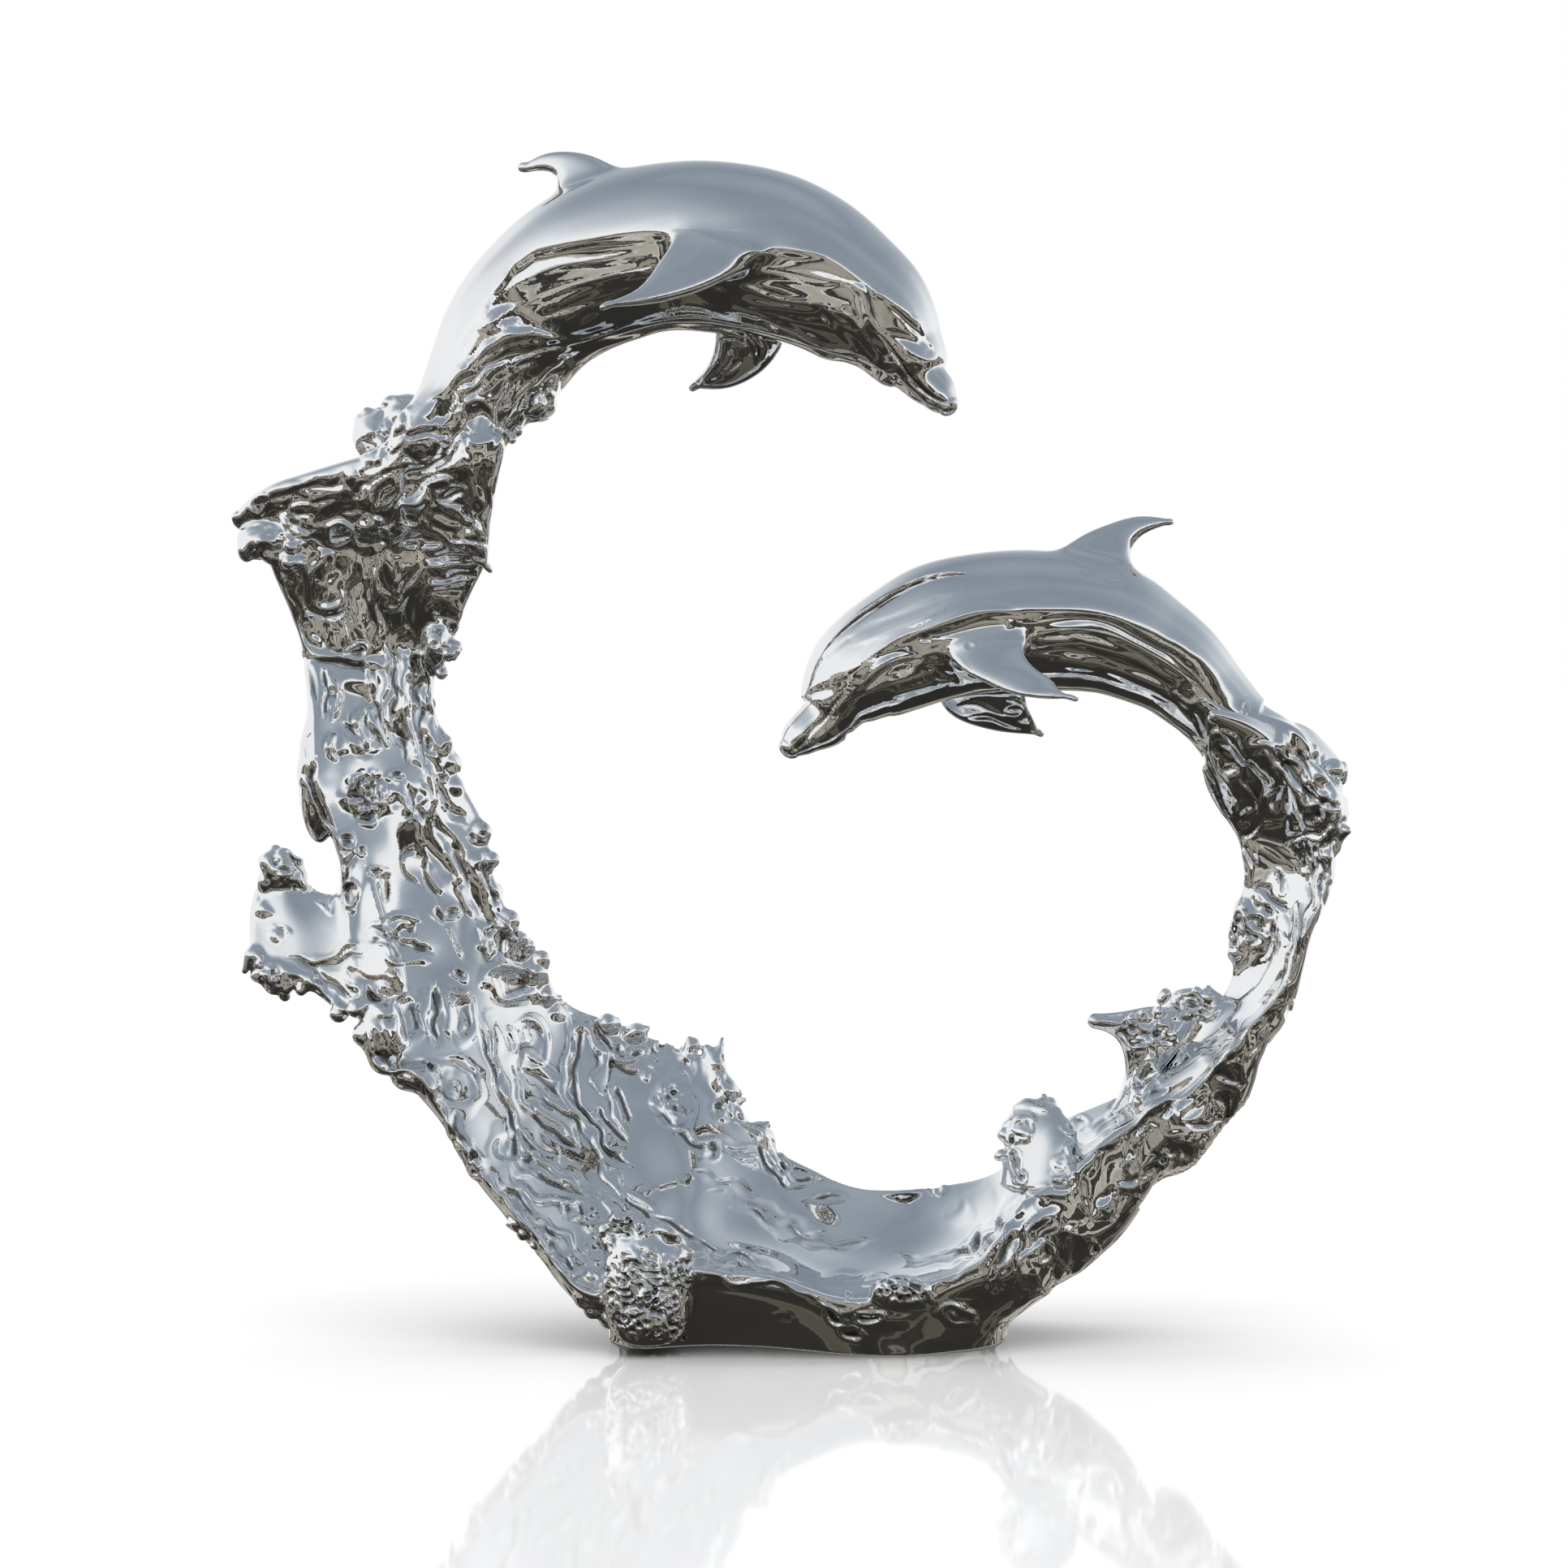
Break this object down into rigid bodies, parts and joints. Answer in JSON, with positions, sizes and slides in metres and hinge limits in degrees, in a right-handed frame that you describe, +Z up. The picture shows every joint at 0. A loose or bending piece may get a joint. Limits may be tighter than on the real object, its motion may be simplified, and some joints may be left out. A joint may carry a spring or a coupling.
{
  "type": "dolphin sculpture",
  "caption": "Open ring of leaping water in polished stainless steel: a curling wave on a flat foot with a leaping dolphin at each end.",
  "frame": {"origin": "on the floor, under the middle of the bounding box", "axes": "+Z up; +X to the right of the show side, from the tall left limb of the wave to the short right one; -Y faces the viewer of the show side"},
  "size_m": [1.365, 0.3358, 1.4541],
  "materials": {
    "polished_steel": "mirror-polished stainless steel"
  },
  "bodies": {
    "root": {"dolphin_wave_sculpture": "polished_steel"}
  },
  "joints": []
}
